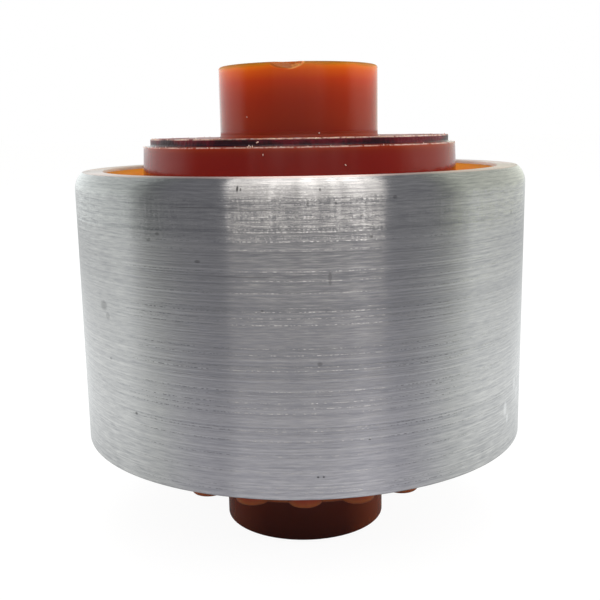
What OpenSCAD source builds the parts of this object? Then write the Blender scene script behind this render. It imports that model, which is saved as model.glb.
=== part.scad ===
// Press-in suspension bushing: a turned aluminium ring round a one-piece polyurethane casting,
// with a steel crush sleeve for the bolt inside the casting's posts.
// Millimetres, +Z up along the bolt, origin at the centre of the lower post's end face, front at -Y.

/* [Outer ring] */
// Outside diameter that is pressed into the arm's eye
ring_od = 66; // [62:0.5:80]
// Length of the ring along the axis
ring_h = 39.2; // [30:0.1:60]
// Wall thickness of the ring
ring_wall = 4; // [2.5:0.1:5]
// Radius of the lead-in rounding at the upper outside edge
lead_r = 3; // [2.6:0.1:5]
// Height of the lead-in rounding
lead_h = 2.4; // [0.8:0.1:2.5]
// Width of the broken edges on the ring's other corners
ring_edge = 0.3; // [0.1:0.05:0.8]

/* [Crush sleeve] */
// Bore of the sleeve, a clearance fit on the bolt
sleeve_bore = 12.2; // [8.2:0.1:14.5]
// Wall thickness of the sleeve
sleeve_wall = 2; // [1:0.1:3]
// How far each sleeve end lies inside the casting's end face
sleeve_recess = 0.3; // [0.1:0.05:1]
// Chamfer inside and outside each sleeve end
sleeve_chamfer = 0.4; // [0.1:0.05:0.45]

/* [Posts] */
// Diameter of the upper post
upper_post_d = 23.4; // [22:0.1:30]
// Height of the upper post above the trimmed step
upper_post_h = 10.1; // [6:0.1:20]
// Diameter of the lower post
lower_post_d = 24.6; // [22:0.1:30]
// Height of the lower post below the lower collar
lower_post_h = 10.5; // [6:0.1:20]
// Break of the outer edge at the upper post's end
upper_post_edge = 0.4; // [0.1:0.05:1]
// Break of the outer edge at the lower post's end
lower_post_edge = 0.15; // [0.1:0.05:1]
// Fillet where each post meets its collar
post_fillet_r = 0.6; // [0.2:0.05:1.5]

/* [Collars] */
// Diameter of both collars at their free ends
collar_d = 46; // [44:0.1:48]
// How far the upper collar stands above the ring
upper_collar_h = 3.35; // [2:0.05:8]
// How far the lower collar stands below the ring
lower_collar_h = 4.8; // [2:0.1:8]
// Break of the lower collar's edge and of the lobes' lower edges
lower_edge = 0.35; // [0.2:0.05:1]
// Break of the upper collar's edge
collar_edge = 0.25; // [0.1:0.05:0.5]
// Diameter of the step left on the upper collar where the casting was trimmed
step_d = 44; // [38:0.1:44.5]
// Height of the trimmed step
step_h = 1.05; // [0.5:0.05:2]
// Hollow at the foot of the trimmed step
step_foot_r = 0.4; // [0.1:0.05:0.5]

/* [Grooves] */
// Depth of each annular groove below the ring's end
groove_depth = 9; // [5:0.1:12]
// Draft of each groove wall over its height
groove_draft = 0.6; // [0.2:0.05:1]
// Thickness of the polyurethane lining at the groove's mouth
lining_t = 1.4; // [0.6:0.1:2]
// Height of the lining's sloped lip
lining_lip = 1.1; // [0.5:0.1:2]
// Bare aluminium left between the ring's end and the lining
lining_set = 0.45; // [0.3:0.05:1.5]

/* [Lobes] */
// Number of half-round lobes round the lower collar
lobe_count = 20; // [12:1:24]
// Diameter of each lobe
lobe_d = 4.7; // [3:0.1:5]
// How far the lobes' centres lie inside the collar's edge
lobe_inset = 0.3; // [0.1:0.05:1]
// How far the lobes end above the collar's lower face
lobe_rise = 0.15; // [0.1:0.05:1]

/* [Chip] */
// Width of the chip knocked out of the upper post's front edge
chip_w = 4.5; // [2:0.1:6]
// Depth of the chip down the post's side
chip_h = 0.9; // [0.4:0.05:1.5]
// How far the scoop's centre stands off the post's side
chip_stand_off = 0.4; // [0.2:0.05:0.8]
// Turn of the chip from the front, towards the left
chip_turn = 6.5; // [-30:0.5:30]

/* [Hidden] */
$fn = 96;

// Straight pieces in each rounding of an outline
arc_steps = 8;
// How far a cutting or joining shape runs past the face that it meets
overlap = 1;

ring_r = ring_od / 2;
ring_bore_r = ring_r - ring_wall;
lead_w = lead_r - sqrt(lead_r * lead_r - lead_h * lead_h);
sleeve_bore_r = sleeve_bore / 2;
sleeve_r = sleeve_bore_r + sleeve_wall;
upper_post_r = upper_post_d / 2;
lower_post_r = lower_post_d / 2;
collar_r = collar_d / 2;
step_r = step_d / 2;
lobe_r = lobe_d / 2;

// Heights from the lower post's end upwards
lower_face_z = lower_post_h;
ring_z0 = lower_face_z + lower_collar_h;
ring_z1 = ring_z0 + ring_h;
collar_z = ring_z1 + upper_collar_h;
step_z = collar_z + step_h;
top_z = step_z + upper_post_h;

// Groove walls: the collar widens and the lining thickens towards the groove's round floor
lining_r = ring_bore_r - lining_t;
collar_base_r = collar_r + groove_draft;
lining_base_r = lining_r - groove_draft;
floor_r = (lining_base_r - collar_base_r) / 2;
floor_centre_r = (lining_base_r + collar_base_r) / 2;
upper_floor_z = ring_z1 - groove_depth + floor_r;
lower_floor_z = ring_z0 + groove_depth - floor_r;

// Sphere whose cap has the chip's width and depth
chip_r = (chip_w * chip_w / 4 + chip_h * chip_h) / (2 * chip_h);

// Points along an arc, with the angles in degrees
function arc(centre, r, from, to) =
  [for (i = [0 : arc_steps]) let (a = from + (to - from) * i / arc_steps) centre + r * [cos(a), sin(a)]];

// The triangle between a square corner and its chamfer, with the corner at the origin
module bevel(c) {
  polygon([[0, 0], [c, 0], [0, c]]);
}

module outer_ring() {
  color("silver")
    translate([0, 0, ring_z0])
      rotate_extrude()
        difference() {
          translate([ring_bore_r, 0]) square([ring_wall, ring_h]);
          translate([ring_bore_r, 0]) bevel(ring_edge);
          translate([ring_bore_r, ring_h]) mirror([0, 1]) bevel(ring_edge);
          translate([ring_r, 0]) mirror([1, 0]) bevel(ring_edge);
          // Lead-in: tangent to the side, and left with an edge at the ring's end
          difference() {
            translate([ring_r - lead_w, ring_h - lead_h]) square([lead_w + overlap, lead_h + overlap]);
            translate([ring_r - lead_r, ring_h - lead_h]) circle(lead_r);
          }
        }
}

// Half of the casting's section, from the sleeve's seat round to the sleeve's seat again
module bush_profile() {
  lining_z0 = ring_z0 + lining_set;
  lining_z1 = ring_z1 - lining_set;
  polygon(concat(
    // Lower post and lower collar
    [[sleeve_r, 0], [lower_post_r - lower_post_edge, 0], [lower_post_r, lower_post_edge]],
    arc([lower_post_r + post_fillet_r, lower_face_z - post_fillet_r], post_fillet_r, 180, 90),
    [[collar_r - lower_edge, lower_face_z], [collar_r, lower_face_z + lower_edge]],
    // Lower groove, lining, upper groove
    arc([floor_centre_r, lower_floor_z], floor_r, 180, 0),
    [[lining_r, lining_z0 + lining_lip], [ring_bore_r, lining_z0]],
    [[ring_bore_r, lining_z1], [lining_r, lining_z1 - lining_lip]],
    arc([floor_centre_r, upper_floor_z], floor_r, 0, -180),
    // Upper collar, trimmed step and upper post
    [[collar_r, collar_z - collar_edge], [collar_r - collar_edge, collar_z]],
    arc([step_r + step_foot_r, collar_z + step_foot_r], step_foot_r, 270, 180),
    [[step_r, step_z]],
    arc([upper_post_r + post_fillet_r, step_z + post_fillet_r], post_fillet_r, 270, 180),
    [[upper_post_r, top_z - upper_post_edge], [upper_post_r - upper_post_edge, top_z], [sleeve_r, top_z]]
  ));
}

// Half-round lobe along the lower collar's side, past the groove's floor into the casting
module lobe() {
  lobe_h = ring_z0 + groove_depth - lower_face_z + overlap;
  rotate_extrude()
    polygon([
      [0, lobe_rise],
      [lobe_r - lower_edge, lobe_rise],
      [lobe_r, lobe_rise + lower_edge],
      [lobe_r, lobe_h],
      [0, lobe_h]
    ]);
}

module bush_body() {
  color([0.72, 0.27, 0.06])
    difference() {
      union() {
        rotate_extrude() bush_profile();
        for (i = [0 : lobe_count - 1])
          rotate(360 * i / lobe_count - 90)
            translate([collar_r - lobe_inset, 0, lower_face_z]) lobe();
      }
      rotate(-90 - chip_turn)
        translate([upper_post_r + chip_stand_off, 0, top_z - chip_h + chip_r]) sphere(chip_r);
    }
}

module inner_sleeve() {
  sleeve_h = top_z - 2 * sleeve_recess;
  color("lightslategray")
    translate([0, 0, sleeve_recess])
      rotate_extrude()
        difference() {
          translate([sleeve_bore_r, 0]) square([sleeve_wall, sleeve_h]);
          for (end = [0, 1])
            translate([0, end * sleeve_h]) mirror([0, end]) {
              translate([sleeve_bore_r, 0]) bevel(sleeve_chamfer);
              translate([sleeve_r, 0]) mirror([1, 0]) bevel(sleeve_chamfer);
            }
        }
}

outer_ring();
bush_body();
inner_sleeve();
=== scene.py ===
import math

import bmesh
import bpy
from mathutils import Matrix, Vector, noise


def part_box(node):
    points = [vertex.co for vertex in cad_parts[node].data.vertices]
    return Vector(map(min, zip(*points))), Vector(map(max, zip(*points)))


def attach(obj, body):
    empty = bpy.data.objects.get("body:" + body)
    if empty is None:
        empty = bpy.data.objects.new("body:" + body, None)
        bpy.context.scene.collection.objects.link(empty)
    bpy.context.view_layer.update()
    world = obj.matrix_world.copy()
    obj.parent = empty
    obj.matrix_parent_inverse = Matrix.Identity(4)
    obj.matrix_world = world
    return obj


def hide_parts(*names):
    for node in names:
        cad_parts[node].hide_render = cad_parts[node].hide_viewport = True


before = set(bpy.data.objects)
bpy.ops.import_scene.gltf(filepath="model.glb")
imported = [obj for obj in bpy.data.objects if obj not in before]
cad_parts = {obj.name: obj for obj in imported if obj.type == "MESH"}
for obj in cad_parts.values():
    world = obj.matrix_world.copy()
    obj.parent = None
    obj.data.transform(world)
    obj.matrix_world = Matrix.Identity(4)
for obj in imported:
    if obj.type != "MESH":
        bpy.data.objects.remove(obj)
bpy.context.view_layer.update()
scene = bpy.context.scene
mm = 0.001  # the dictionaries below are in millimetres and degrees
ringLow, ringHigh = (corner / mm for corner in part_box("outer_ring"))
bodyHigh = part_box("bush_body")[1] / mm
sleeveLow, sleeveHigh = (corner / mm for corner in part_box("inner_sleeve"))
sweepRadius = 10 * mm  # radius of the circle that outlines are swept along
creaseAngle = math.radians(32)  # edges sharper than this keep a hard shading line
mergeDistance = 1e-7
print("frame: ring", round(ringHigh.x * 2, 2), "mm across, whole part", round(bodyHigh.z, 2), "mm high")


def linear(hexCode):  # sRGB hex to the linear colour that the nodes take
    channels = [int(hexCode[i:i + 2], 16) / 255 for i in (1, 3, 5)]
    return [c / 12.92 if c <= 0.04045 else ((c + 0.055) / 1.055) ** 2.4 for c in channels] + [1.0]


# An input is a value, a node or a node's output, and a kind without Node in its name is a shader node
def addNode(tree, kind, inputs=None, stops=None, **settings):
    node = tree.nodes.new(kind if "Node" in kind else "ShaderNode" + kind)
    for name, value in settings.items():
        setattr(node, name, value)
    for socket, value in (inputs or {}).items():
        if isinstance(value, bpy.types.Node):
            value = next(output for output in value.outputs if output.enabled)
        if isinstance(value, bpy.types.NodeSocket):
            tree.links.new(value, node.inputs[socket])
        else:
            node.inputs[socket].default_value = value
    if stops:  # a ramp's positions and linear colours, in order
        elements = node.color_ramp.elements
        while len(elements) < len(stops):
            elements.new(1.0)
        for element, (position, colour) in zip(elements, stops):
            element.position = position
            element.color = colour
    return node


def byAngle(tree, angle, stops):  # colour by an angle, from stops of degrees and linear colour
    share = addNode(tree, "MapRange", {"Value": angle, "From Min": -math.pi, "From Max": math.pi})
    return addNode(tree, "ValToRGB", {"Fac": share},
                   stops=[(0.5 + degrees / 360, colour) for degrees, colour in stops])


def levelByAngle(tree, angle, stops):  # the same for a brightness, which may be over 1
    most = max(level for _, level in stops)
    ramp = byAngle(tree, angle, [(degrees, [level / most] * 3 + [1]) for degrees, level in stops])
    return addNode(tree, "Math", {0: ramp, 1: most}, operation="MULTIPLY")


def newMaterial(name):
    material = bpy.data.materials.new(name)
    material.use_nodes = True
    material.node_tree.nodes.clear()
    return material, material.node_tree


def placeAt(turn, radius, height):  # a place by its turn from the front
    return Matrix.Rotation(math.radians(turn), 3, "Z") @ Vector((0, -radius, height)) * mm


# Outlines: corners are (radius, height, rounding), and long straight runs are cut up for even shading
def outline(corners, closed=True, run=1.2, arcSteps=7, margin=0.12):
    count = len(corners)
    points = []
    for i, (r, z, rounding) in enumerate(corners):
        here = Vector((r, z))
        if rounding == 0 or (not closed and i in (0, count - 1)):
            points.append(here)
            continue
        back = (Vector(corners[i - 1][:2]) - here).normalized()
        ahead = (Vector(corners[(i + 1) % count][:2]) - here).normalized()
        half = back.angle(ahead) / 2
        centre = here + (back + ahead).normalized() * rounding / math.sin(half)
        first = here + back * rounding / math.tan(half) - centre
        sweep = first.angle_signed(here + ahead * rounding / math.tan(half) - centre)
        for k in range(arcSteps + 1):
            points.append(centre + Matrix.Rotation(-sweep * k / arcSteps, 2) @ first)
    cut = []
    for i, point in enumerate(points):
        cut.append(point)
        if i == len(points) - 1 and not closed:
            break
        step = points[(i + 1) % len(points)] - point
        if step.length > 4 * margin:
            inner = step.length - 2 * margin
            pieces = math.ceil(inner / run)
            cut += [point + step.normalized() * (margin + inner * k / pieces) for k in range(pieces + 1)]
    return cut


def outlineObject(name, points, closed=True):  # laid flat as a sweep's section: +X outwards, -Y upwards
    mesh = bpy.data.meshes.new(name)
    count = len(points)
    edges = [(i, (i + 1) % count) for i in range(count if closed else count - 1)]
    mesh.from_pydata([(p.x * mm - sweepRadius, -p.y * mm, 0) for p in points], edges, [])
    obj = bpy.data.objects.new(name, mesh)
    scene.collection.objects.link(obj)
    return obj


def newTree(name, sockets):  # a geometry tree with named inputs
    tree = bpy.data.node_groups.new(name, "GeometryNodeTree")
    for label, kind in [("Geometry", "NodeSocketGeometry")] + sockets:
        tree.interface.new_socket(label, in_out="INPUT", socket_type=kind)
    tree.interface.new_socket("Geometry", in_out="OUTPUT", socket_type="NodeSocketGeometry")
    return tree, addNode(tree, "NodeGroupInput").outputs


def creaseEdges(tree, geometry):  # hard shading lines along sharp edges only
    angle = addNode(tree, "GeometryNodeInputMeshEdgeAngle").outputs["Unsigned Angle"]
    soft = addNode(tree, "Math", {0: angle, 1: creaseAngle}, operation="LESS_THAN")
    return addNode(tree, "GeometryNodeSetShadeSmooth", {
        "Geometry": geometry, "Shade Smooth": soft}, domain="EDGE")


def finishTree(tree, geometry, material):  # what every tree ends in
    whole = addNode(tree, "GeometryNodeRealizeInstances", {"Geometry": geometry})
    painted = addNode(tree, "GeometryNodeSetMaterial", {"Geometry": whole, "Material": material})
    addNode(tree, "NodeGroupOutput", {"Geometry": painted})
    return tree


def applyTree(obj, tree, values):  # runs the tree on the object and keeps the result as its own plain mesh
    modifier = obj.modifiers.new(tree.name, "NODES")
    modifier.node_group = tree
    for item in tree.interface.items_tree:
        if item.in_out == "INPUT" and item.name in values:
            modifier[item.identifier] = values[item.name]
    depsgraph = bpy.context.evaluated_depsgraph_get()
    mesh = bpy.data.meshes.new_from_object(obj.evaluated_get(depsgraph), depsgraph=depsgraph)
    obj.modifiers.clear()
    obj.data = mesh
    mesh.name = obj.name
    return obj


def pointOutwards(obj):  # faces of a closed shell turned outwards after its doubles are merged
    shell = bmesh.new()
    shell.from_mesh(obj.data)
    bmesh.ops.remove_doubles(shell, verts=shell.verts, dist=mergeDistance)
    bmesh.ops.recalc_face_normals(shell, faces=shell.faces)
    shell.to_mesh(obj.data)
    shell.free()


# Turned on a lathe: an outline swept round the axis
def buildLatheTree():
    tree, given = newTree("lathe", [("Segments", "NodeSocketInt"), ("Material", "NodeSocketMaterial")])
    section = addNode(tree, "GeometryNodeMeshToCurve", {"Mesh": given["Geometry"]})
    path = addNode(tree, "GeometryNodeCurvePrimitiveCircle", {
        "Resolution": given["Segments"], "Radius": sweepRadius})
    sweep = addNode(tree, "GeometryNodeCurveToMesh", {"Curve": path, "Profile Curve": section})
    merged = addNode(tree, "GeometryNodeMergeByDistance", {"Geometry": sweep, "Distance": mergeDistance})
    faces = addNode(tree, "GeometryNodeSetShadeSmooth", {"Geometry": merged}, domain="FACE")
    return finishTree(tree, creaseEdges(tree, faces), given["Material"])


latheTree = buildLatheTree()

# Camera: fitted to the ring's and posts' outlines in the photograph
cameraView = {
    "distance": 134.93, "height": 59.9, "lens": 53.215, "sensor": 36, "nearest": 5,
    "tiltDown": 10.875, "turn": 0.126, "roll": -0.997,
}
cameraData = bpy.data.cameras.new("camera")
cameraData.lens = cameraView["lens"]
cameraData.sensor_width = cameraView["sensor"]
cameraData.clip_start = cameraView["nearest"] * mm
camera = bpy.data.objects.new("camera", cameraData)
scene.collection.objects.link(camera)
camera.matrix_world = (
    Matrix.Translation((0, -cameraView["distance"] * mm, cameraView["height"] * mm))
    @ Matrix.Rotation(math.radians(cameraView["turn"]), 4, "Z")
    @ Matrix.Rotation(math.radians(90 - cameraView["tiltDown"]), 4, "X")
    @ Matrix.Rotation(math.radians(cameraView["roll"]), 4, "Z")
)
scene.camera = camera
scene.view_settings.view_transform = "Standard"
print("camera set")

# Studio: a light tent, dark in front and white beside and behind the part, with a lamp panel over the camera
tent = {
    "walls": [  # turn from the front, brightness
        (-145, 1.08), (-118, 0.89), (-95, 0.66), (-79, 0.19), (73, 0.26), (89, 0.66), (112, 0.7),
        (139, 0.8), (165, 1.0),
    ],
    "upperWalls": [
        (-118, 0.63), (-95, 0.58), (-79, 0.21), (73, 0.27), (89, 0.6), (112, 0.6),
    ],
    "upperRise": (8, 34),  # heights over the horizon between which the upper walls take over
    "overheadRise": (66, 88), "overhead": 0.68,  # and those for the light overhead
    "panel": [  # height over the horizon, brightness
        (0, 0.14), (9, 0.71), (17, 0.77), (26, 0.87), (40, 0.8), (62, 0.86), (80, 1.72),
    ],
    "panelTurn": (-34.8, 40.3), "panelEdge": 2.4,
    "panelFlare": (35, 85, 0.85),  # it widens between these heights
    "panelStrips": [  # its upright strips: turn, share of its brightness
        (-36, 1.05), (-34, 1.12), (-30, 0.94), (-26, 0.98), (-19, 1.02), (-11, 1.04), (0, 1.1), (7.5, 1.2),
        (11, 1.07), (15, 1.32), (18.8, 1.22), (22.6, 1.45), (26.5, 1.25), (30.4, 1.58), (34.3, 1.22),
        (38, 1.12), (41, 1.1),
    ],
    "ripples": 15, "rippleNoise": (0.3, 0.7),  # finer strips to a radian, and the noise's range
    "rippleRise": (10, 35), "unevenness": (0.22, 0.55),  # they get more uneven between these heights
    "tints": [
        (-120, "#f9fffe"), (-85, "#f5fcfa"), (-65, "#f2f3fd"), (65, "#f3f4fb"), (80, "#f9fff2"),
        (108, "#fbfff3"),
    ],
    "panelTint": "#fffbf8",
}


def buildTent():
    world = bpy.data.worlds.new("lightTent")
    world.use_nodes = True
    tree = world.node_tree
    tree.nodes.clear()
    scene.world = world
    seen = addNode(tree, "TexCoord").outputs["Generated"]
    way = addNode(tree, "SeparateXYZ", {0: seen}).outputs
    forward = addNode(tree, "Math", {0: 1.0, 1: way["Y"]}, operation="SUBTRACT")
    halfTurn = addNode(tree, "Math", {0: way["X"], 1: forward}, operation="ARCTAN2")
    turn = addNode(tree, "Math", {0: halfTurn, 1: 2.0}, operation="MULTIPLY")  # edges flare upwards
    rise = addNode(tree, "Math", {0: way["Z"]}, operation="ARCSINE")

    # Walls, and the light overhead
    level = levelByAngle(tree, turn, tent["walls"])
    upper = levelByAngle(tree, turn, tent["upperWalls"])
    for heights, over in ((tent["upperRise"], upper), (tent["overheadRise"], tent["overhead"])):
        low, high = (math.radians(height) for height in heights)
        lifted = addNode(tree, "MapRange", {"Value": rise, "From Min": low, "From Max": high})
        level = addNode(tree, "Mix", {"Factor": lifted, 2: level, 3: over}, data_type="FLOAT")

    # Where the lamp panel is, and its strips
    lowFlare, highFlare, flareShare = tent["panelFlare"]
    flare = addNode(tree, "MapRange", {
        "Value": rise, "From Min": math.radians(lowFlare), "From Max": math.radians(highFlare),
        "To Min": 1.0, "To Max": flareShare})
    flared = addNode(tree, "Math", {0: turn, 1: flare}, operation="MULTIPLY")
    inPanel = 1.0
    soft = tent["panelEdge"] / 2
    for edge, side in zip(tent["panelTurn"], (soft, -soft)):
        inside = addNode(tree, "MapRange", {
            "Value": flared, "From Min": math.radians(edge - side), "From Max": math.radians(edge + side)},
            interpolation_type="SMOOTHSTEP")
        inPanel = addNode(tree, "Math", {0: inside, 1: inPanel}, operation="MULTIPLY")
    panel = levelByAngle(tree, rise, tent["panel"])
    strips = levelByAngle(tree, turn, tent["panelStrips"])
    panel = addNode(tree, "Math", {0: panel, 1: strips}, operation="MULTIPLY")
    ripple = addNode(tree, "TexNoise", {"W": turn, "Scale": tent["ripples"], "Detail": 1.0},
                     noise_dimensions="1D")
    least, most = tent["rippleNoise"]
    centred = addNode(tree, "MapRange", {
        "Value": ripple, "From Min": least, "From Max": most, "To Min": -1.0})
    low, high = (math.radians(height) for height in tent["rippleRise"])
    unevenLow, unevenHigh = tent["unevenness"]
    unevenness = addNode(tree, "MapRange", {
        "Value": rise, "From Min": low, "From Max": high, "To Min": unevenLow, "To Max": unevenHigh})
    uneven = addNode(tree, "Math", {0: centred, 1: unevenness, 2: 1.0}, operation="MULTIPLY_ADD")
    panel = addNode(tree, "Math", {0: panel, 1: uneven}, operation="MULTIPLY")
    level = addNode(tree, "Mix", {"Factor": inPanel, 2: level, 3: panel}, data_type="FLOAT")

    # Tints, and plain white to the camera
    tints = byAngle(tree, turn, [(degrees, linear(hexCode)) for degrees, hexCode in tent["tints"]])
    tint = addNode(tree, "Mix", {"Factor": inPanel, 6: tints, 7: linear(tent["panelTint"])},
                   data_type="RGBA")
    toCamera = addNode(tree, "LightPath").outputs["Is Camera Ray"]
    shownLevel = addNode(tree, "Mix", {"Factor": toCamera, 2: level, 3: 1.0}, data_type="FLOAT")
    shownTint = addNode(tree, "Mix", {"Factor": toCamera, 6: tint, 7: linear("#ffffff")},
                        data_type="RGBA")
    light = addNode(tree, "Background", {"Color": shownTint, "Strength": shownLevel})
    addNode(tree, "OutputWorld", {"Surface": light})


buildTent()

# Softboxes low on both sides and over the camera, which light the casting and are hidden from reflections
softboxes = {
    "boxes": [(-105, 10, 4.2), (0, 35, 1.0), (100, 10, 4.9)],  # turn from the front, height, power
    "distance": 600, "size": 500,
}


def buildSoftboxes():
    for turn, rise, power in softboxes["boxes"]:
        data = bpy.data.lights.new("softbox", "AREA")
        data.energy = power
        data.size = softboxes["size"] * mm
        box = bpy.data.objects.new("softbox", data)
        scene.collection.objects.link(box)
        aim = Matrix.Rotation(math.radians(turn), 4, "Z") @ Matrix.Rotation(math.radians(90 - rise), 4, "X")
        box.matrix_world = aim @ Matrix.Translation((0, 0, softboxes["distance"] * mm))
        box.visible_glossy = False


buildSoftboxes()

# Floor: pale and matt, shown nearly white, with the part's soft shadow kept
floorLook = {
    "width": 12000, "colour": "#c4c4c4", "whiteToCamera": 0.87, "white": 1.04,
    # a glow that only metal sees, a painted reflection of the lit floor, from front to back
    "mirrored": 0.9, "front": (-150, 0.28), "back": (20, 1.25),
    # painted shadow: the glow is dark near the axis, under the part, and changes with distance
    "reach": [  # share of it by distance from the axis
        (22, 0.1), (58, 0.74), (74, 0.86), (92, 0.96), (110, 1.0), (360, 0.5), (1400, 0.8),
    ],
    # painted sheen: the lamp panel's reflection painted into the floor's glow
    "paintedSheen": [  # share of it by turn from the front, brighter where the lamp panel lies in the floor
        (-110, 1.0), (-90, 1.06), (-75, 1.05), (-60, 1.0), (-50, 0.98), (-44.5, 0.97), (-40.5, 1.0),
        (-36.5, 1.05), (-33, 1.18), (-28, 1.23), (0, 1.24), (12, 1.26), (21, 1.34), (30, 1.4), (34, 1.37),
        (38, 1.28), (42, 1.22), (46, 1.17), (50, 1.07), (56, 1.03), (63, 1.1), (70, 1.15), (82, 1.14),
        (90, 1.11), (100, 1.06), (125, 1.0),
    ],
    "paintedSheenFrom": 19.5,  # how far in front of the axis it spreads from
    # tints in front and beside the part
    "mirroredTint": "#e4e4ef", "sideTint": "#e5e8e9", "sideFrom": (50, 75),
}


def buildFloor():
    look = floorLook
    half = look["width"] / 2 * mm
    corners = [(-half, -half, 0), (half, -half, 0), (half, half, 0), (-half, half, 0)]
    mesh = bpy.data.meshes.new("studioFloor")
    mesh.from_pydata(corners, [], [(0, 1, 2, 3)])
    floor = bpy.data.objects.new("studioFloor", mesh)
    scene.collection.objects.link(floor)
    material, tree = newMaterial("paleFloor")
    path = addNode(tree, "LightPath").outputs
    place = addNode(tree, "TexCoord").outputs["Object"]
    axes = addNode(tree, "SeparateXYZ", {0: place}).outputs

    # To the camera, and as light on the part
    toCamera = path["Is Camera Ray"]
    pale = addNode(tree, "Mix", {"Factor": toCamera, 6: linear(look["colour"]), 7: linear("#ffffff")},
                   data_type="RGBA")
    matt = addNode(tree, "BsdfDiffuse", {"Color": pale})
    shown = addNode(tree, "Math", {0: toCamera, 1: look["whiteToCamera"]}, operation="MULTIPLY")
    glow = addNode(tree, "Emission", {"Strength": look["white"]})
    bright = addNode(tree, "MixShader", {0: shown, 1: matt, 2: glow})

    # As the metal mirrors it: a painted reflection, with a painted shadow near the axis and the lamp panel's
    # painted sheen
    (frontY, frontLevel), (backY, backLevel) = look["front"], look["back"]
    level = addNode(tree, "MapRange", {
        "Value": axes["Y"], "From Min": frontY * mm, "From Max": backY * mm,
        "To Min": frontLevel, "To Max": backLevel}, interpolation_type="SMOOTHSTEP")
    reach = addNode(tree, "VectorMath", {0: place}, operation="LENGTH")
    farthest = look["reach"][-1][0]
    outwards = addNode(tree, "Math", {0: reach, 1: farthest * mm}, operation="DIVIDE")
    shade = addNode(tree, "ValToRGB", {"Fac": outwards},
                    stops=[(distance / farthest, [part] * 3 + [1]) for distance, part in look["reach"]])
    shaded = addNode(tree, "Math", {0: level, 1: shade}, operation="MULTIPLY")
    forwards = addNode(tree, "Math", {0: -look["paintedSheenFrom"] * mm, 1: axes["Y"]}, operation="SUBTRACT")
    turn = addNode(tree, "Math", {0: axes["X"], 1: forwards}, operation="ARCTAN2")
    paintedSheen = levelByAngle(tree, turn, look["paintedSheen"])
    shaded = addNode(tree, "Math", {0: shaded, 1: paintedSheen}, operation="MULTIPLY")
    sideways = addNode(tree, "Math", {0: turn}, operation="ABSOLUTE")
    none, full = (math.radians(degrees) for degrees in look["sideFrom"])
    beside = addNode(tree, "MapRange", {"Value": sideways, "From Min": none, "From Max": full})
    tint = addNode(tree, "Mix", {
        "Factor": beside, 6: linear(look["mirroredTint"]), 7: linear(look["sideTint"])}, data_type="RGBA")
    mirrored = addNode(tree, "Emission", {"Color": tint, "Strength": shaded})
    toMetal = addNode(tree, "Math", {0: path["Is Glossy Ray"], 1: look["mirrored"]}, operation="MULTIPLY")
    surface = addNode(tree, "MixShader", {0: toMetal, 1: bright, 2: mirrored})
    addNode(tree, "OutputMaterial", {"Surface": surface})
    mesh.materials.append(material)


buildFloor()
print("studio set")

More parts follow.
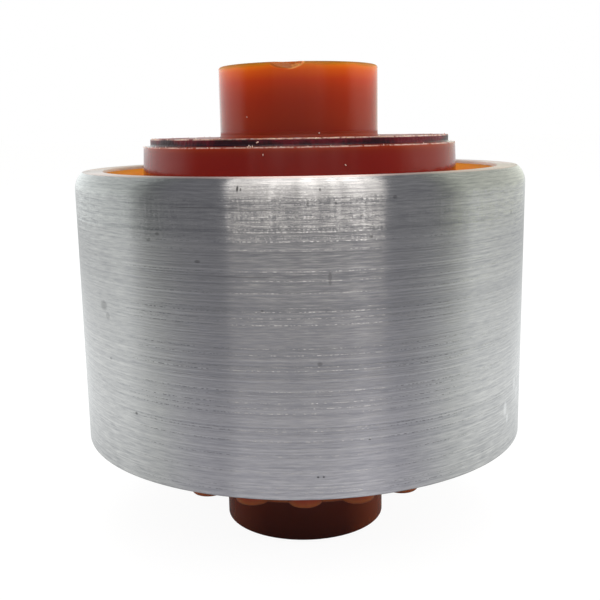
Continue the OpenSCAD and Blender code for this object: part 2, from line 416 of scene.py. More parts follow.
# Turned metal: lathe lines round the axis, so reflections stay sharp sideways and smear up and down.
# The tool's real lines are finer than a pixel, so these are as coarse as they need to be to show.
turning = {
    "streaks": {  # how detailed each kind of line or mark is
        "fineLine": 2.0, "shortLine": 1.0, "coarseLine": 2.0, "chatter": 1.0, "groove": 0.0, "dash": 1.0,
        "bar": 1.0, "speck": 1.0,
    },
    "shortShare": 0.3, "coarseShare": 0.3, "chatterShare": 0.35,  # how much of the colour's grain they make
    "grainNoise": (0.38, 0.62), "roughNoise": (0.3, 0.7), "dashNoise": (0.5, 0.58), "grooveNoise": 0.1,
    # where a mark's soft edge starts and ends, and how far in it goes
    "markEdge": (1.25, 0.5), "markDepth": 2.0,
    "endDepth": 0.06, "grainTurn": 0.25,
}
turnedAluminiumLook = {
    "dark": "#b4b4b5", "light": "#dad9d7", "darkMark": "#1d1d20", "scuff": "#ffffff",
    "roughness": (0.19, 0.226), "anisotropy": 1.0,
    # length and width of the lines
    "fineLine": (250, 0.3), "shortLine": (1.6, 0.22), "coarseLine": (150, 0.9),
    "lineHeight": 0.03,
    "chatter": (2.2, 0.2), "chatterTilt": 0.2,  # the tool's short chatter marks
    "lastPass": (7.4, 5.6), "lastPassTilt": 0.072,  # coarser pass down to this distance from the upper end
    # upright ripples and specks in it
    "bar": (0.45, 5.0), "barTilt": 0.2, "speck": (0.35, 0.13), "speckTilt": 0.22,
    # grooves that flash where the tool chattered
    "groove": (300, 0.16), "dash": (0.26, 0.4), "glintTilt": 0.42,
    # how rare they are, and where that changes under the upper end
    "glintShare": (0.64, 0.5), "glintFrom": (9, 6),
    # pale pink inside the tube and on its upper end
    "bore": "#ffebe4", "boreRadius": 29.2, "boreRoughness": 0.5,
    # turn from the front, height over the lower edge, width, height, darkness (below 0 for pale scuffs)
    "marks": [
        (-52.3, 22.3, 1.9, 1.4, 0.3), (-50.6, 21.0, 1.2, 1.0, 0.25), (-12.8, 38.0, 0.28, 0.75, 0.85),
        (-12.1, 37.9, 0.22, 0.4, 0.6), (-31.8, 32.5, 0.7, 0.4, 0.35), (-34.4, 31.7, 0.7, 0.4, 0.3),
        (-22.0, 29.4, 0.8, 0.4, 0.4), (-41.0, 8.9, 0.55, 0.4, 0.6), (-50.3, 15.3, 0.5, 0.35, 0.4),
        (5.8, 27.5, 0.5, 1.9, 0.22), (14.4, 32.2, 0.5, 0.4, 0.45), (1.5, 36.2, 0.35, 0.5, 0.4),
        (7.1, 36.2, 0.3, 0.3, 0.5), (19.6, 36.7, 0.6, 0.5, 0.35), (4.0, 37.8, 0.3, 0.4, 0.5),
        (57.4, 33.4, 0.3, 0.6, 0.6), (2.8, 3.0, 0.3, 0.25, 0.85), (4.0, 3.0, 0.25, 0.25, 0.85),
        (14.0, 7.4, 0.3, 0.25, 0.6), (3.5, 17.2, 0.7, 0.5, 0.35), (12.5, 34.7, 0.5, 0.35, 0.4),
        (-8.2, 23.7, 0.35, 0.3, 0.4), (-20.3, 35.8, 11.0, 0.10, 0.5), (-9.0, 35.5, 9.0, 0.10, 0.4),
        (-12.0, 27.7, 8.0, 0.10, 0.45), (57.0, 6.4, 1.2, 2.2, -0.4), (58.6, 4.8, 0.8, 1.4, -0.4),
        (64.1, 9.0, 0.9, 2.0, -0.4), (67.1, 7.2, 0.9, 2.2, -0.4),
    ],
}
turnedSteelLook = {
    "dark": "#77787c", "light": "#a9abae",
    "roughness": (0.28, 0.36), "anisotropy": 0.7,
    "fineLine": (20, 0.2), "shortLine": (1.5, 0.16), "coarseLine": (14, 0.8),
    "lineHeight": 0.02,
    "chatter": (0.9, 0.16), "chatterTilt": 0.1,
    "lastPass": (3.0, 2.0), "lastPassTilt": 0.0,
    "bar": (0.5, 5.0), "barTilt": 0.0, "speck": (0.3, 0.2), "speckTilt": 0.0,
    "groove": (60, 0.2), "dash": (0.5, 0.9), "glintTilt": 0.2,
    "glintShare": (0.75, 0.6), "glintFrom": (4, 2),
    "bore": "#8e9094", "boreRadius": 6.2, "boreRoughness": 0.4,
    "marks": [],
}


def turnedMetal(name, look, low, high):
    material, tree = newMaterial(name)
    place = addNode(tree, "TexCoord").outputs["Object"]
    axes = addNode(tree, "SeparateXYZ", {0: place}).outputs
    flat = addNode(tree, "CombineXYZ", {"X": axes["X"], "Y": axes["Y"]})
    radius = addNode(tree, "VectorMath", {0: flat}, operation="LENGTH")

    # Noise drawn out round the axis, on the side and on the end faces alike
    along = addNode(tree, "Math", {0: axes["Z"], 1: radius}, operation="SUBTRACT")
    lathe = addNode(tree, "CombineXYZ", {"X": axes["X"], "Y": axes["Y"], "Z": along})
    streaks = {}
    for kind, detail in turning["streaks"].items():
        length, width = (size * mm for size in look[kind])
        mapped = addNode(tree, "Mapping", {"Vector": lathe, "Scale": (1 / length, 1 / length, 1 / width)})
        streak = addNode(tree, "TexNoise", {"Vector": mapped, "Scale": 1.0, "Detail": detail})
        streaks[kind] = streak.outputs["Fac"]

    # Colour: the lines' grain, the pale pink in the bore and on the upper end, then dark marks and scuffs
    lines = addNode(tree, "Mix", {
        "Factor": turning["shortShare"], 2: streaks["fineLine"], 3: streaks["shortLine"]}, data_type="FLOAT")
    bands = addNode(tree, "Mix", {
        "Factor": turning["coarseShare"], 2: lines, 3: streaks["coarseLine"]}, data_type="FLOAT")
    grain = addNode(tree, "Mix", {
        "Factor": turning["chatterShare"], 2: bands, 3: streaks["chatter"]}, data_type="FLOAT")
    least, most = turning["grainNoise"]
    spread = addNode(tree, "MapRange", {"Value": grain, "From Min": least, "From Max": most})
    colour = addNode(tree, "Mix", {
        "Factor": spread, 6: linear(look["dark"]), 7: linear(look["light"])}, data_type="RGBA")
    within = addNode(tree, "Math", {0: radius, 1: look["boreRadius"] * mm}, operation="LESS_THAN")
    endFace = (high - turning["endDepth"]) * mm
    onEnd = addNode(tree, "Math", {0: axes["Z"], 1: endFace}, operation="GREATER_THAN")
    inside = addNode(tree, "Math", {0: within, 1: onEnd}, operation="MAXIMUM")
    colour = addNode(tree, "Mix", {"Factor": inside, 6: colour, 7: linear(look["bore"])}, data_type="RGBA")
    none, full = turning["markEdge"]
    for turn, height, width, tall, darkness in look["marks"]:
        spot = placeAt(turn, ringHigh.x, low + height)
        away = addNode(tree, "VectorMath", {0: place, 1: spot}, operation="SUBTRACT")
        turned = addNode(tree, "VectorRotate", {"Vector": away, "Angle": math.radians(-turn)},
                         rotation_type="Z_AXIS")
        halves = (width / 2, turning["markDepth"], tall / 2)
        scaled = addNode(tree, "VectorMath", {0: turned, 1: [1 / (half * mm) for half in halves]},
                         operation="MULTIPLY")
        length = addNode(tree, "VectorMath", {0: scaled}, operation="LENGTH")
        depth = addNode(tree, "MapRange", {
            "Value": length, "From Min": none, "From Max": full, "To Max": abs(darkness)},
            interpolation_type="SMOOTHSTEP")
        shade = linear(look["darkMark"] if darkness > 0 else look["scuff"])
        colour = addNode(tree, "Mix", {"Factor": depth, 6: colour, 7: shade}, data_type="RGBA")

    # Roughness, and the lines' relief
    least, most = turning["roughNoise"]
    smoothest, roughest = look["roughness"]
    rough = addNode(tree, "MapRange", {
        "Value": streaks["coarseLine"], "From Min": least, "From Max": most,
        "To Min": smoothest, "To Max": roughest})
    rough = addNode(tree, "Mix", {"Factor": inside, 2: rough, 3: look["boreRoughness"]}, data_type="FLOAT")
    bump = addNode(tree, "Bump", {"Height": lines, "Strength": 1.0, "Distance": look["lineHeight"] * mm})

    # Facets tilted up or down by the tool: chatter, the last pass with its bars and specks, and the
    # grooves' glints
    below, above = ((high - depth) * mm for depth in look["lastPass"])
    lastPass = addNode(tree, "MapRange", {"Value": axes["Z"], "From Min": below, "From Max": above},
                       interpolation_type="SMOOTHSTEP")
    below, above = ((high - depth) * mm for depth in look["glintFrom"])
    rareBelow, rareAbove = look["glintShare"]
    rare = addNode(tree, "MapRange", {
        "Value": axes["Z"], "From Min": below, "From Max": above, "To Min": rareBelow, "To Max": rareAbove})
    over = addNode(tree, "Math", {0: streaks["groove"], 1: rare}, operation="SUBTRACT")
    flash = addNode(tree, "MapRange", {
        "Value": over, "From Max": turning["grooveNoise"], "To Max": look["glintTilt"]})
    least, most = turning["dashNoise"]
    broken = addNode(tree, "MapRange", {"Value": streaks["dash"], "From Min": least, "From Max": most})
    tilt = look["chatterTilt"]
    ripple = addNode(tree, "Math", {0: streaks["chatter"], 1: tilt, 2: -tilt / 2}, operation="MULTIPLY_ADD")
    raised = addNode(tree, "Math", {0: lastPass, 1: look["lastPassTilt"], 2: ripple},
                     operation="MULTIPLY_ADD")
    facet = addNode(tree, "Math", {0: flash, 1: broken, 2: raised}, operation="MULTIPLY_ADD")
    for kind in ("bar", "speck"):
        tilt = look[kind + "Tilt"]
        uneven = addNode(tree, "Math", {0: streaks[kind], 1: tilt, 2: -tilt / 2}, operation="MULTIPLY_ADD")
        facet = addNode(tree, "Math", {0: lastPass, 1: uneven, 2: facet}, operation="MULTIPLY_ADD")
    lifted = addNode(tree, "CombineXYZ", {"Z": facet})
    tilted = addNode(tree, "VectorMath", {0: bump, 1: lifted}, operation="ADD")
    normal = addNode(tree, "VectorMath", {0: tilted}, operation="NORMALIZE")
    tangent = addNode(tree, "Tangent", direction_type="RADIAL", axis="Z")
    surface = addNode(tree, "BsdfPrincipled", {
        "Base Color": colour, "Metallic": 1.0, "Roughness": rough, "Normal": normal, "Tangent": tangent,
        "Anisotropic": look["anisotropy"], "Anisotropic Rotation": turning["grainTurn"]})
    addNode(tree, "OutputMaterial", {"Surface": surface})
    return material


turnedAluminium = turnedMetal("turnedAluminium", turnedAluminiumLook, ringLow.z, ringHigh.z)
turnedSteel = turnedMetal("turnedSteel", turnedSteelLook, sleeveLow.z, sleeveHigh.z)

# Outer ring: turned tube with a rounded lead-in at its upper outside edge
ring = {
    "wall": 4.0, "leadRadius": 3.0, "leadHeight": 2.4, "leadSteps": 10, "edge": 0.2, "crest": 0.1,
    "segments": 720,
}


def buildRing():
    outer, inner = ringHigh.x, ringHigh.x - ring["wall"]
    leadAngle = math.degrees(math.asin(ring["leadHeight"] / ring["leadRadius"]))
    leadZ = ringHigh.z - ring["leadHeight"]
    corners = [(inner, ringLow.z, ring["edge"]), (outer, ringLow.z, ring["edge"])]
    steps = ring["leadSteps"]
    for k in range(steps + 1):
        a = math.radians(leadAngle * k / steps)
        corners.append((outer - ring["leadRadius"] + ring["leadRadius"] * math.cos(a),
                        leadZ + ring["leadRadius"] * math.sin(a), ring["crest"] if k == steps else 0))
    corners.append((inner, ringHigh.z, ring["edge"]))
    section = outlineObject("outerRing", outline(corners))
    applyTree(section, latheTree, {"Segments": ring["segments"], "Material": turnedAluminium})
    pointOutwards(section)
    return section


outerRing = buildRing()
print("ring built,", len(outerRing.data.polygons), "faces")

# Crush sleeve: steel tube for the bolt, seated inside the casting
sleeve = {"wall": 2.0, "chamfer": 0.4, "edge": 0.06, "segments": 192}


def buildSleeve():
    outer, inner = sleeveHigh.x, sleeveHigh.x - sleeve["wall"]
    low, high, cut, edge = sleeveLow.z, sleeveHigh.z, sleeve["chamfer"], sleeve["edge"]
    corners = [(inner, low + cut, edge), (inner + cut, low, edge), (outer - cut, low, edge),
               (outer, low + cut, edge)]
    corners += [(r, low + high - z, edge) for r, z, edge in reversed(corners)]
    section = outlineObject("crushSleeve", outline(corners, run=6.0, arcSteps=3))
    applyTree(section, latheTree, {"Segments": sleeve["segments"], "Material": turnedSteel})
    pointOutwards(section)
    return section


crushSleeve = buildSleeve()
print("sleeve built")

# Casting: one turned outline, with the lobes joined on and the chip taken out
casting = {
    "upperPost": 11.7, "lowerPost": 12.3, "postFillet": 0.35, "upperPostEdge": 0.4, "lowerPostEdge": 0.15,
    "seatEdge": 0.15, "lowerFace": 10.5, "collar": 23.0, "collarTop": 57.85, "collarEdge": 0.25,
    "step": 22.0, "stepTop": 58.9, "stepFoot": 0.3, "stepEdge": 0.08,
    "grooveDepth": 9.0, "grooveDraft": 0.6, "grooveFlat": 0.01,
    "lining": 1.4, "liningLip": 1.1, "liningSet": 0.45, "liningEdge": 0.2,
    "lowerEdge": 0.35, "segments": 320,
    "lobes": 20, "lobe": 2.35, "lobeInset": 0.3, "lobeRise": 0.15, "lobeInto": 1.0, "lobeSegments": 48,
    # ragged edges where it was trimmed
    "burrHeight": 0.2, "burrSize": 0.9, "burrReach": 0.4, "burrSeed": 3.0,
    "chipTurn": -8.2, "chipHalf": (2.45, 1.6, 1.2), "chipOut": 0.4, "chipUp": 0.3, "chipLean": 8,
    "chipRough": 0.07, "chipNoise": (2.3, 0.6, 2.0, 3),  # noise's scale, then its own three settings
    # outline cut this far under the end, which keeps the chip's shading off the wall below
    "chipGuard": 1.15,
}
chipPlace = placeAt(casting["chipTurn"], casting["upperPost"] + casting["chipOut"],
                    bodyHigh.z + casting["chipUp"])
trimmedEdges = ((casting["step"], casting["stepTop"]), (casting["collar"], casting["collarTop"]))

# Cast polyurethane: deep red-brown in the bulk, smooth and glossy, with an amber glow painted where light
# soaks in at edges and thin walls, and painted shade darkening the lower post
castPolyurethaneLook = {
    # painted light: the amber near the upper end and the tan on the lobes' rims are painted glow, the dark
    # lower post is painted shade
    "heights": [  # colours along the axis, by height over the lower end
        (0.0, "#30120d"), (5.0, "#45190f"), (9.5, "#5a2414"), (10.6, "#5c2816"), (11.0, "#844618"),
        (11.7, "#842c0a"), (15.5, "#84300e"), (30.0, "#b5601c"), (50.0, "#7a1406"), (54.5, "#761205"),
        (56.5, "#731305"), (57.2, "#741a05"), (57.7, "#802808"), (58.9, "#7e1c0c"), (60.4, "#842405"),
        (63.8, "#8e2504"), (65.2, "#982a04"), (66.6, "#ab3204"), (68.0, "#c64f02"), (68.5, "#d06a04"),
        (68.72, "#b06a08"), (69.0, "#8c5a08"),
    ],
    # sizes of its tint's patches, and how far heights wander
    "cloud": 7, "grain": 0.5, "rib": 0.5, "wander": 0.6,
    # the lining's orange and the lower post's side colour are a painted glow of light through thin casting;
    # the chip's pale lip is partly a painted highlight
    "lining": "#ee8a0a", "foot": "#7e2408", "chip": "#a65a1c", "chipLipAndHighlight": "#dc9250", "postSideGlow": "#743418",
    "band": "#260a14", "bandLight": "#560818", "bandNoise": (0.46, 0.6), "ribShare": 0.25, "bandLift": 0.15,
    # pale edges: partly wear, partly a painted highlight along the rounded edges
    "wornAndHighlit": "#d6c2b6", "wornAndHighlitWidth": (0.21, 0.07), "wornAndHighlitCloud": (0.38, 0.56, 0.3),
    "wornAndHighlitNoise": ((0.3, 0.52, 0.9), (0.34, 0.54, 0.75)),  # none, full and most, for the step and the collar
    "chipEdge": (1.12, 1.03), "chipNear": (1.26, 1.12), "lipFrom": 0.35,  # in the chip's own half widths
    "sideGlow": ((12.0, 0.6), (-12.0, 0.3)),  # light that soaks into the lower post's sides: place, share
    "roughness": 0.14, "dullRoughness": 0.38, "liningRoughness": 0.6, "stepMatt": 0.35,
    "ior": 1.55, "gloss": 0.39, "dullGloss": 0.25, "tornHeight": 0.1, "skin": 0.04, "skinHeight": 0.3,
    "scatter": 0.3, "scatterDepth": (3.0, 0.9, 0.3),
}


def castPolyurethane():
    look, c = castPolyurethaneLook, casting
    material, tree = newMaterial("castPolyurethane")
    place = addNode(tree, "TexCoord").outputs["Object"]
    axes = addNode(tree, "SeparateXYZ", {0: place}).outputs
    height = axes["Z"]
    flat = addNode(tree, "CombineXYZ", {"X": axes["X"], "Y": axes["Y"]})
    radius = addNode(tree, "VectorMath", {0: flat}, operation="LENGTH")
    section = addNode(tree, "CombineXYZ", {"X": radius, "Y": height})
    patches = []
    for source, kind, detail in ((place, "cloud", 3.0), (place, "grain", 3.0), (flat, "rib", 1.0)):
        patch = addNode(tree, "TexNoise", {
            "Vector": source, "Scale": 1 / (look[kind] * mm), "Detail": detail})
        patches.append(patch.outputs["Fac"])
    cloud, grain, rib = patches

    # Colour by height, glow and shade painted in, wandering a little as the casting's tint does
    wander = addNode(tree, "Math", {0: cloud, 1: look["wander"] * mm, 2: -look["wander"] / 2 * mm},
                     operation="MULTIPLY_ADD")
    level = addNode(tree, "Math", {0: height, 1: wander}, operation="ADD")
    share = addNode(tree, "MapRange", {"Value": level, "From Max": bodyHigh.z * mm})
    colour = addNode(tree, "ValToRGB", {"Fac": share},
                     stops=[(z / bodyHigh.z, linear(hexCode)) for z, hexCode in look["heights"]])

    # Masks: what is measured, where it starts and where it is full
    offPost = (radius, c["upperPost"] + 4, c["upperPost"] + 8)
    bounds = {
        # the lining's bright orange is a painted glow of light through the thin wall
        "thinWall": ((radius, c["collar"] + 1.5, c["collar"] + 3.0), (height, 40.0, 46.0)),  # the lining
        "inBand": ((height, c["collarTop"] - 0.05, c["collarTop"] + 0.15),  # the trimmed step's torn wall
                   (height, c["stepTop"] + 0.05, c["stepTop"] - 0.1), offPost),
        "onWall": ((height, c["collarTop"] + 0.1, c["collarTop"] + 0.35),
                   (height, c["stepTop"] + 0.3, c["stepTop"] + 0.1), offPost),
        "onStep": ((height, c["stepTop"] - 0.03, c["stepTop"] - 0.01),
                   (height, c["stepTop"] + 0.1, c["stepTop"] + 0.05)),
        "atFoot": ((height, c["stepTop"] - 0.1, c["stepTop"]),  # the upper post's foot
                   (height, c["stepTop"] + 0.9, c["stepTop"] + 0.5),
                   (radius, c["upperPost"] + 1.5, c["upperPost"] + 0.9)),
        "atEnd": ((height, bodyHigh.z - 0.5, bodyHigh.z - 0.3),),
        "atBase": ((height, 18.0, 16.5),),
    }
    masks = {}
    for name, limits in bounds.items():
        masks[name] = 1.0
        for source, none, full in limits:
            within = addNode(tree, "MapRange", {
                "Value": source, "From Min": none * mm, "From Max": full * mm},
                interpolation_type="SMOOTHSTEP")
            masks[name] = addNode(tree, "Math", {0: within, 1: masks[name]}, operation="MULTIPLY")

    # The torn wall: upright ribs, lighter towards its upper edge
    ribbed = addNode(tree, "Math", {0: rib, 1: look["ribShare"], 2: cloud}, operation="MULTIPLY_ADD")
    middle = (c["collarTop"] + c["stepTop"]) / 2
    lifted = addNode(tree, "Math", {
        0: height, 1: look["bandLift"] / mm, 2: -look["bandLift"] * middle - look["ribShare"] / 2},
        operation="MULTIPLY_ADD")
    shown = addNode(tree, "Math", {0: ribbed, 1: lifted}, operation="ADD")
    none, full = look["bandNoise"]
    streak = addNode(tree, "MapRange", {"Value": shown, "From Min": none, "From Max": full})
    bandColour = addNode(tree, "Mix", {
        "Factor": streak, 6: linear(look["band"]), 7: linear(look["bandLight"])}, data_type="RGBA")

    # Pale wear and a painted highlight on the step's and the collar's edges
    wornAndHighlit = 0.0
    farthest, nearest = look["wornAndHighlitWidth"]
    for (edgeR, edgeZ), (none, full, most) in zip(trimmedEdges, look["wornAndHighlitNoise"]):
        away = addNode(tree, "VectorMath", {
            0: section, 1: (edgeR * mm, edgeZ * mm, 0)}, operation="DISTANCE")
        near = addNode(tree, "MapRange", {
            "Value": away, "From Min": farthest * mm, "From Max": nearest * mm})
        patchy = addNode(tree, "MapRange", {
            "Value": grain, "From Min": none, "From Max": full, "To Max": most})
        patch = addNode(tree, "Math", {0: near, 1: patchy}, operation="MULTIPLY")
        wornAndHighlit = addNode(tree, "Math", {0: patch, 1: wornAndHighlit}, operation="MAXIMUM")
    none, full, least = look["wornAndHighlitCloud"]
    denser = addNode(tree, "MapRange", {"Value": cloud, "From Min": none, "From Max": full, "To Min": least})
    wearAndHighlight = addNode(tree, "Math", {0: wornAndHighlit, 1: denser}, operation="MULTIPLY")

    # The chip's fresh break, and the pale lip on its right, partly a painted highlight
    chipAway = addNode(tree, "VectorMath", {0: place, 1: chipPlace}, operation="SUBTRACT")
    chipTurned = addNode(tree, "VectorRotate", {
        "Vector": chipAway, "Angle": math.radians(-c["chipTurn"])}, rotation_type="Z_AXIS")
    chipScaled = addNode(tree, "VectorMath", {
        0: chipTurned, 1: [1 / (half * mm) for half in c["chipHalf"]]}, operation="MULTIPLY")
    chipReach = addNode(tree, "VectorMath", {0: chipScaled}, operation="LENGTH")
    inChip, nearChip = (
        addNode(tree, "MapRange", {"Value": chipReach, "From Min": none, "From Max": full},
                interpolation_type="SMOOTHSTEP") for none, full in (look["chipEdge"], look["chipNear"]))
    chipSide = addNode(tree, "SeparateXYZ", {0: chipScaled}).outputs["X"]
    lipSide = addNode(tree, "MapRange", {"Value": chipSide, "From Min": 0.0, "From Max": look["lipFrom"]})
    onLipAndHighlight = addNode(tree, "Math", {0: nearChip, 1: lipSide}, operation="MULTIPLY")

    # The lower post's sides: a painted glow where light soaks in
    sides = 0.0
    for reach, most in look["sideGlow"]:
        glow = addNode(tree, "MapRange", {
            "Value": axes["X"], "From Min": reach / 2 * mm, "From Max": reach * mm, "To Max": most})
        sides = addNode(tree, "Math", {0: glow, 1: sides}, operation="MAXIMUM")
    below = addNode(tree, "Math", {0: height, 1: c["lowerFace"] * mm}, operation="LESS_THAN")
    postSideGlow = addNode(tree, "Math", {0: sides, 1: below}, operation="MULTIPLY")

    # All of it over the colour by height, then what is dull or matt
    for mask, over in ((postSideGlow, linear(look["postSideGlow"])), (masks["thinWall"], linear(look["lining"])),
                       (masks["inBand"], bandColour), (masks["atFoot"], linear(look["foot"])),
                       (wearAndHighlight, linear(look["wornAndHighlit"])), (onLipAndHighlight, linear(look["chipLipAndHighlight"])),
                       (inChip, linear(look["chip"]))):
        colour = addNode(tree, "Mix", {"Factor": mask, 6: colour, 7: over}, data_type="RGBA")
    torn = masks["onWall"]
    for mask in (masks["atFoot"], masks["atEnd"], nearChip):
        torn = addNode(tree, "Math", {0: torn, 1: mask}, operation="MAXIMUM")
    dull = torn
    for mask in (masks["atBase"], masks["thinWall"]):
        dull = addNode(tree, "Math", {0: dull, 1: mask}, operation="MAXIMUM")
    rough = addNode(tree, "Mix", {"Factor": torn, 2: look["roughness"], 3: look["dullRoughness"]},
                    data_type="FLOAT")
    matt = addNode(tree, "Math", {0: masks["onStep"], 1: look["stepMatt"], 2: masks["thinWall"]},
                   operation="MULTIPLY_ADD")
    rough = addNode(tree, "Mix", {"Factor": matt, 2: rough, 3: look["liningRoughness"]}, data_type="FLOAT")
    gloss = addNode(tree, "Mix", {"Factor": dull, 2: look["gloss"], 3: look["dullGloss"]}, data_type="FLOAT")
    tornBump = addNode(tree, "Bump", {
        "Height": grain, "Strength": masks["inBand"], "Distance": look["tornHeight"] * mm})
    skin = addNode(tree, "Bump", {
        "Height": cloud, "Strength": look["skin"], "Distance": look["skinHeight"] * mm, "Normal": tornBump})
    surface = addNode(tree, "BsdfPrincipled", {
        "Base Color": colour, "Roughness": rough, "IOR": look["ior"], "Specular IOR Level": gloss,
        "Normal": skin,
        "Subsurface Weight": look["scatter"], "Subsurface Radius": look["scatterDepth"],
        "Subsurface Scale": mm})
    addNode(tree, "OutputMaterial", {"Surface": surface})
    return material


castMaterial = castPolyurethane()


def buildLobe():  # one half-round lobe's full pillar, standing on the axis
    low = casting["lowerFace"] + casting["lobeRise"]
    high = ringLow.z + casting["grooveDepth"] + casting["lobeInto"]
    corners = [(0, low, 0), (casting["lobe"], low, casting["lowerEdge"]), (casting["lobe"], high, 0),
               (0, high, 0)]
    section = outlineObject("lobe", outline(corners, closed=False, run=3.0), closed=False)
    applyTree(section, latheTree, {"Segments": casting["lobeSegments"], "Material": castMaterial})
    pointOutwards(section)
    return section


def buildScoop():  # what the chip took out of the upper post's front edge
    shape = bmesh.new()
    bmesh.ops.create_icosphere(shape, subdivisions=5, radius=1.0)
    turn = Matrix.Rotation(math.radians(casting["chipTurn"]), 3, "Z")
    lean = Matrix.Rotation(math.radians(casting["chipLean"]), 3, "Y")
    scale, *detail = casting["chipNoise"]
    for vert in shape.verts:
        ripple = noise.fractal(vert.co * scale, *detail) * casting["chipRough"]
        size = Vector(casting["chipHalf"]) * mm * (1 + ripple)
        vert.co = chipPlace + turn @ lean @ Vector([c * s for c, s in zip(vert.co, size)])
    mesh = bpy.data.meshes.new("scoop")
    shape.to_mesh(mesh)
    shape.free()
    for polygon in mesh.polygons:
        polygon.use_smooth = True
    mesh.materials.append(castMaterial)
    obj = bpy.data.objects.new("scoop", mesh)
    scene.collection.objects.link(obj)
    return obj


def buildCastingTree():
    tree, given = newTree("casting", [
        ("Segments", "NodeSocketInt"), ("Material", "NodeSocketMaterial"), ("Lobe", "NodeSocketObject"),
        ("Lobes", "NodeSocketInt"), ("Lobe circle", "NodeSocketFloat"), ("Scoop", "NodeSocketObject"),
        ("Burr height", "NodeSocketFloat"), ("Burr size", "NodeSocketFloat"),
        ("Burr reach", "NodeSocketFloat"), ("Seed", "NodeSocketFloat")])
    turned = addNode(tree, "GeometryNodeGroup", node_tree=latheTree)
    for name in ("Geometry", "Segments", "Material"):
        tree.links.new(given[name], turned.inputs[name])
    outwards = addNode(tree, "GeometryNodeFlipFaces", {"Mesh": turned})  # the cuts need it

    # Ragged burrs on the trimmed edges
    place = addNode(tree, "GeometryNodeInputPosition")
    axes = addNode(tree, "SeparateXYZ", {0: place}).outputs
    flat = addNode(tree, "CombineXYZ", {"X": axes["X"], "Y": axes["Y"]})
    radius = addNode(tree, "VectorMath", {0: flat}, operation="LENGTH")
    section = addNode(tree, "CombineXYZ", {"X": radius, "Y": axes["Z"]})
    reach = 0.0
    for edgeR, edgeZ in trimmedEdges:
        away = addNode(tree, "VectorMath", {
            0: section, 1: (edgeR * mm, edgeZ * mm, 0)}, operation="DISTANCE")
        near = addNode(tree, "MapRange", {"Value": away, "From Min": given["Burr reach"], "From Max": 0.0})
        reach = addNode(tree, "Math", {0: near, 1: reach}, operation="MAXIMUM")
    grit = addNode(tree, "TexNoise", {
        "Vector": place, "W": given["Seed"], "Scale": given["Burr size"], "Detail": 2.0},
        noise_dimensions="4D")
    centred = addNode(tree, "VectorMath", {0: grit.outputs["Color"], 1: (0.5, 0.5, 0.5)},
                      operation="SUBTRACT")
    amount = addNode(tree, "Math", {0: reach, 1: given["Burr height"]}, operation="MULTIPLY")
    shift = addNode(tree, "VectorMath", {0: centred, "Scale": amount}, operation="SCALE")
    ragged = addNode(tree, "GeometryNodeSetPosition", {"Geometry": outwards, "Offset": shift})

    # Lobes joined on, chip taken out
    circle = addNode(tree, "GeometryNodeMeshCircle", {
        "Vertices": given["Lobes"], "Radius": given["Lobe circle"]})
    lobe = addNode(tree, "GeometryNodeObjectInfo", {"Object": given["Lobe"]}).outputs["Geometry"]
    lobes = addNode(tree, "GeometryNodeInstanceOnPoints", {"Points": circle, "Instance": lobe})
    lobesReal = addNode(tree, "GeometryNodeRealizeInstances", {"Geometry": lobes})
    joined = addNode(tree, "GeometryNodeMeshBoolean", operation="UNION", solver="MANIFOLD")
    for solid in (lobesReal, ragged):
        tree.links.new(solid.outputs["Geometry"], joined.inputs["Mesh 2"])
    scoop = addNode(tree, "GeometryNodeObjectInfo", {"Object": given["Scoop"]}).outputs["Geometry"]
    chipped = addNode(tree, "GeometryNodeMeshBoolean", {"Mesh 1": joined, "Mesh 2": scoop},
                      operation="DIFFERENCE", solver="MANIFOLD")
    return finishTree(tree, creaseEdges(tree, chipped), given["Material"])


def buildCasting():
    c = casting
    bore = ringHigh.x - ring["wall"]
    lining = bore - c["lining"]
    innerWall, outerWall = c["collar"] + c["grooveDraft"], lining - c["grooveDraft"]
    floorRound = (outerWall - innerWall) / 2 - c["grooveFlat"]
    lowFloor, highFloor = ringLow.z + c["grooveDepth"], ringHigh.z - c["grooveDepth"]
    lipLow, lipHigh = ringLow.z + c["liningSet"], ringHigh.z - c["liningSet"]
    corners = [
        (sleeveHigh.x, 0, c["seatEdge"]), (c["lowerPost"], 0, c["lowerPostEdge"]),
        (c["lowerPost"], c["lowerFace"], c["postFillet"]), (c["collar"], c["lowerFace"], c["lowerEdge"]),
        (innerWall, lowFloor, floorRound), (outerWall, lowFloor, floorRound),
        (lining, lipLow + c["liningLip"], c["liningEdge"]), (bore, lipLow, 0),
        (bore, lipHigh, 0), (lining, lipHigh - c["liningLip"], c["liningEdge"]),
        (outerWall, highFloor, floorRound), (innerWall, highFloor, floorRound),
        (c["collar"], c["collarTop"], c["collarEdge"]), (c["step"], c["collarTop"], c["stepFoot"]),
        (c["step"], c["stepTop"], c["stepEdge"]), (c["upperPost"], c["stepTop"], c["postFillet"]),
        (c["upperPost"], bodyHigh.z - c["chipGuard"], 0),
        (c["upperPost"], bodyHigh.z, c["upperPostEdge"]), (sleeveHigh.x, bodyHigh.z, c["seatEdge"]),
    ]
    lobe, scoop = buildLobe(), buildScoop()
    section = outlineObject("bushBody", outline(corners, run=8.0, arcSteps=5))
    applyTree(section, buildCastingTree(), {
        "Segments": c["segments"], "Material": castMaterial, "Lobe": lobe, "Lobes": c["lobes"],
        "Lobe circle": (c["collar"] - c["lobeInset"]) * mm, "Scoop": scoop,
        "Burr height": c["burrHeight"] * mm,
        "Burr size": 1 / (c["burrSize"] * mm), "Burr reach": c["burrReach"] * mm, "Seed": c["burrSeed"]})
    for helper in (lobe, scoop):
        bpy.data.objects.remove(helper)
    return section


bushBody = buildCasting()
print("casting built,", len(bushBody.data.polygons), "faces")

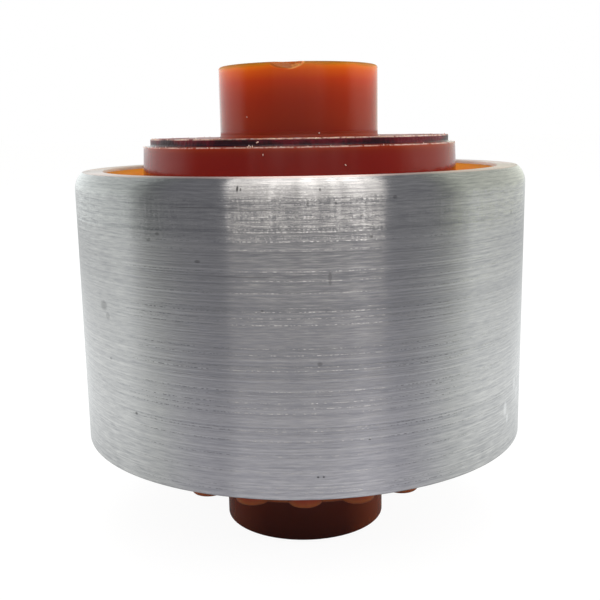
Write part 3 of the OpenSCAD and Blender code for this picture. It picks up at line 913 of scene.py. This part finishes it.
# Trimmings: crumbs left on the trimmed step's edges, and a few that strayed
trimmings = {
    "count": 260, "kept": 0.14, "size": (0.04, 0.09), "wander": 0.08, "flatten": (1.6, 1.0, 0.6),
    "spin": 6.3, "seed": 11, "detail": 2,
    "strays": [  # turn from the front, radius, height, size
        (-11.4, 23.05, 56.86, 0.09), (14.4, 23.15, 55.44, 0.11), (13.5, 11.72, 59.4, 0.1),
        (-13.8, 22.1, 58.4, 0.12), (-16.2, 22.7, 57.98, 0.1), (-14.9, 22.9, 57.9, 0.09),
        (-37.9, 11.72, 61.74, 0.06),
    ],
    "colour": "#dcc6ba", "roughness": 0.45, "scatter": 0.2, "scatterDepth": (0.3, 0.2, 0.15),
}


def shavedPolyurethane():  # pale torn crumbs, like specks of light on the dark edge
    material, tree = newMaterial("shavedPolyurethane")
    surface = addNode(tree, "BsdfPrincipled", {
        "Base Color": linear(trimmings["colour"]), "Roughness": trimmings["roughness"],
        "Subsurface Weight": trimmings["scatter"], "Subsurface Radius": trimmings["scatterDepth"],
        "Subsurface Scale": mm})
    addNode(tree, "OutputMaterial", {"Surface": surface})
    return material


def buildTrimmingsTree():
    tree, given = newTree("trimmings", [
        ("Count", "NodeSocketInt"), ("Kept", "NodeSocketFloat"), ("Smallest", "NodeSocketFloat"),
        ("Largest", "NodeSocketFloat"), ("Wander", "NodeSocketFloat"), ("Flatten", "NodeSocketVector"),
        ("Seed", "NodeSocketInt"), ("Material", "NodeSocketMaterial")])
    seed = given["Seed"]
    edges = addNode(tree, "GeometryNodeJoinGeometry")
    for radius, height in trimmedEdges:
        circle = addNode(tree, "GeometryNodeMeshCircle", {"Vertices": given["Count"], "Radius": radius * mm})
        raised = addNode(tree, "GeometryNodeTransform", {
            "Geometry": circle, "Translation": (0, 0, height * mm)})
        tree.links.new(raised.outputs["Geometry"], edges.inputs["Geometry"])
    least = addNode(tree, "Math", {0: given["Wander"], 1: -1.0}, operation="MULTIPLY")
    shift = addNode(tree, "FunctionNodeRandomValue", {0: least, 1: given["Wander"], "Seed": seed},
                    data_type="FLOAT_VECTOR")
    strewn = addNode(tree, "GeometryNodeSetPosition", {"Geometry": edges, "Offset": shift})
    keep = addNode(tree, "FunctionNodeRandomValue", {
        "Probability": given["Kept"], "Seed": seed}, data_type="BOOLEAN")
    size = addNode(tree, "FunctionNodeRandomValue", {
        2: given["Smallest"], 3: given["Largest"], "Seed": seed},
                   data_type="FLOAT")
    straySize = addNode(tree, "GeometryNodeInputNamedAttribute", {"Name": "size"}, data_type="FLOAT")
    spin = addNode(tree, "FunctionNodeRandomValue", {1: [trimmings["spin"]] * 3, "Seed": seed},
                   data_type="FLOAT_VECTOR")
    crumb = addNode(tree, "GeometryNodeMeshIcoSphere", {"Radius": 1.0, "Subdivisions": trimmings["detail"]})
    shaped = addNode(tree, "GeometryNodeTransform", {"Geometry": crumb, "Scale": given["Flatten"]})
    crumbs = addNode(tree, "GeometryNodeJoinGeometry")
    for points, chosen, scale in ((strewn, keep, size), (given["Geometry"], True, straySize)):
        placed = addNode(tree, "GeometryNodeInstanceOnPoints", {
            "Points": points, "Selection": chosen, "Instance": shaped, "Rotation": spin, "Scale": scale})
        tree.links.new(placed.outputs["Instances"], crumbs.inputs["Geometry"])
    return finishTree(tree, crumbs, given["Material"])


def buildTrimmings():
    mesh = bpy.data.meshes.new("trimmings")
    mesh.from_pydata([placeAt(*spot) for *spot, _ in trimmings["strays"]], [], [])
    sizes = mesh.attributes.new("size", "FLOAT", "POINT")
    sizes.data.foreach_set("value", [size * mm for *_, size in trimmings["strays"]])
    obj = bpy.data.objects.new("trimmings", mesh)
    scene.collection.objects.link(obj)
    return applyTree(obj, buildTrimmingsTree(), {
        "Count": trimmings["count"], "Kept": trimmings["kept"], "Smallest": trimmings["size"][0] * mm,
        "Largest": trimmings["size"][1] * mm, "Wander": trimmings["wander"] * mm,
        "Flatten": trimmings["flatten"],
        "Seed": trimmings["seed"], "Material": shavedPolyurethane()})


crumbs = buildTrimmings()
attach(crumbs, "root")
print("trimmings built,", len(crumbs.data.polygons), "faces")

for piece, node, slot in ((outerRing, "outer_ring", "turned_aluminium"),
                          (bushBody, "bush_body", "cast_polyurethane"),
                          (crushSleeve, "inner_sleeve", "sleeve_steel")):
    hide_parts(node)
    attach(piece, "root")
